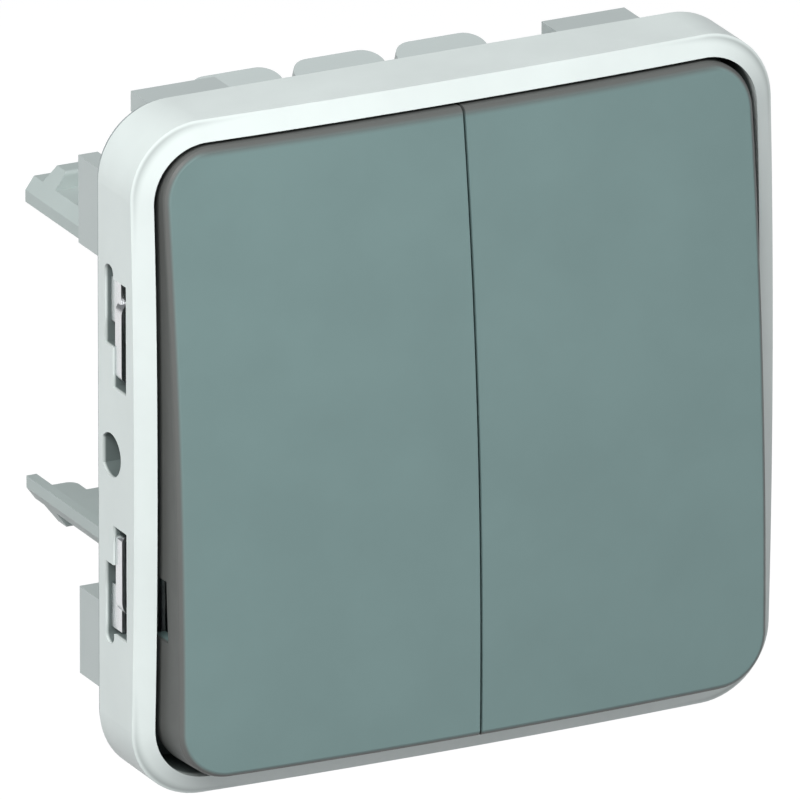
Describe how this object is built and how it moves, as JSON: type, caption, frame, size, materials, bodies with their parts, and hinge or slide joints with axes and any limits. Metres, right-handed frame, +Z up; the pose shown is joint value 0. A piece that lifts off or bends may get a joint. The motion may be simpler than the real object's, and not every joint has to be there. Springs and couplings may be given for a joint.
{
  "type": "rocker wall switch",
  "caption": "Rocker wall switch with crowned caps in a square frame, side clip windows, rear posts, latch tongues and screwless terminals with release levers.",
  "frame": {"origin": "centre of the plane on which the frame's rear edge seats", "axes": "+Y into the wall, +Z up, +X to the right seen from the room"},
  "size_m": [0.066, 0.0418, 0.066],
  "materials": {
    "frame_plastic": "fine satin moulded surface, light grey",
    "body_plastic": "moulded satin, light grey",
    "rocker_plastic": "fine spark-eroded texture, grey-green",
    "toggle_plastic": "moulded satin, dark grey",
    "seal_rubber": "matt elastomer, dark grey",
    "spring_steel": "bright stainless spring steel",
    "contact_brass": "stamped brass with silver contact buttons"
  },
  "bodies": {
    "switch_base": {"common_terminal_left": "contact_brass", "common_terminal_right": "contact_brass", "fixed_contact_bottom_left": "contact_brass", "fixed_contact_bottom_right": "contact_brass", "fixed_contact_top_left": "contact_brass", "fixed_contact_top_right": "contact_brass", "frame_gasket": "seal_rubber", "front_frame": "frame_plastic", "housing_screws": "spring_steel", "pivot_pin_left": "spring_steel", "pivot_pin_right": "spring_steel", "plate_seal": "seal_rubber", "rear_housing": "body_plastic", "side_clip_bottom_left": "spring_steel", "side_clip_bottom_right": "spring_steel", "side_clip_top_left": "spring_steel", "side_clip_top_right": "spring_steel", "support_plate": "body_plastic", "terminal_spring_bottom_left": "spring_steel", "terminal_spring_bottom_middle": "spring_steel", "terminal_spring_bottom_right": "spring_steel", "terminal_spring_top_left": "spring_steel", "terminal_spring_top_middle": "spring_steel", "terminal_spring_top_right": "spring_steel", "wire_entry_plate_bottom": "body_plastic", "wire_entry_plate_top": "body_plastic"},
    "rocker_left_unit": {"rocker_left": "rocker_plastic", "toggle_left": "toggle_plastic", "detent_plunger_left": "toggle_plastic", "detent_spring_left": "spring_steel"},
    "contact_left_unit": {"contact_blade_left": "contact_brass"},
    "rocker_right_unit": {"rocker_right": "rocker_plastic", "toggle_right": "toggle_plastic", "detent_plunger_right": "toggle_plastic", "detent_spring_right": "spring_steel"},
    "contact_right_unit": {"contact_blade_right": "contact_brass"},
    "lever_top_left": {"release_lever_top_left": "frame_plastic"},
    "lever_top_middle": {"release_lever_top_middle": "frame_plastic"},
    "lever_top_right": {"release_lever_top_right": "frame_plastic"},
    "lever_bottom_left": {"release_lever_bottom_left": "frame_plastic"},
    "lever_bottom_middle": {"release_lever_bottom_middle": "frame_plastic"},
    "lever_bottom_right": {"release_lever_bottom_right": "frame_plastic"}
  },
  "joints": [
    {"name": "rocker_left_tilt", "type": "hinge", "parent": "switch_base", "child": "rocker_left_unit", "pos_m": [0, -0.0034, 0], "axis": [1, 0, 0], "range_deg": [0, 6.9]},
    {"name": "contact_left_tilt", "type": "hinge", "parent": "switch_base", "child": "contact_left_unit", "pos_m": [0, 0.0083, 0], "axis": [1, 0, 0], "range_deg": [-11, 0]},
    {"name": "rocker_right_tilt", "type": "hinge", "parent": "switch_base", "child": "rocker_right_unit", "pos_m": [0, -0.0034, 0], "axis": [1, 0, 0], "range_deg": [0, 6.9]},
    {"name": "contact_right_tilt", "type": "hinge", "parent": "switch_base", "child": "contact_right_unit", "pos_m": [0, 0.0083, 0], "axis": [1, 0, 0], "range_deg": [-11, 0]},
    {"name": "lever_top_left_press", "type": "hinge", "parent": "switch_base", "child": "lever_top_left", "pos_m": [0, 0.011, 0.0236], "axis": [-1, 0, 0], "range_deg": [0, 10], "stiffness_Nm_per_rad": 0.06, "springref_deg": -2.86},
    {"name": "lever_top_middle_press", "type": "hinge", "parent": "switch_base", "child": "lever_top_middle", "pos_m": [0, 0.011, 0.0236], "axis": [-1, 0, 0], "range_deg": [0, 10], "stiffness_Nm_per_rad": 0.06, "springref_deg": -2.86},
    {"name": "lever_top_right_press", "type": "hinge", "parent": "switch_base", "child": "lever_top_right", "pos_m": [0, 0.011, 0.0236], "axis": [-1, 0, 0], "range_deg": [0, 10], "stiffness_Nm_per_rad": 0.06, "springref_deg": -2.86},
    {"name": "lever_bottom_left_press", "type": "hinge", "parent": "switch_base", "child": "lever_bottom_left", "pos_m": [0, 0.011, -0.0236], "axis": [1, 0, 0], "range_deg": [0, 10], "stiffness_Nm_per_rad": 0.06, "springref_deg": -2.86},
    {"name": "lever_bottom_middle_press", "type": "hinge", "parent": "switch_base", "child": "lever_bottom_middle", "pos_m": [0, 0.011, -0.0236], "axis": [1, 0, 0], "range_deg": [0, 10], "stiffness_Nm_per_rad": 0.06, "springref_deg": -2.86},
    {"name": "lever_bottom_right_press", "type": "hinge", "parent": "switch_base", "child": "lever_bottom_right", "pos_m": [0, 0.011, -0.0236], "axis": [1, 0, 0], "range_deg": [0, 10], "stiffness_Nm_per_rad": 0.06, "springref_deg": -2.86}
  ],
  "couplings": [
    {"joint": "contact_left_tilt", "follows": "rocker_left_tilt", "ratio": -1.5942},
    {"joint": "contact_right_tilt", "follows": "rocker_right_tilt", "ratio": -1.5942}
  ]
}
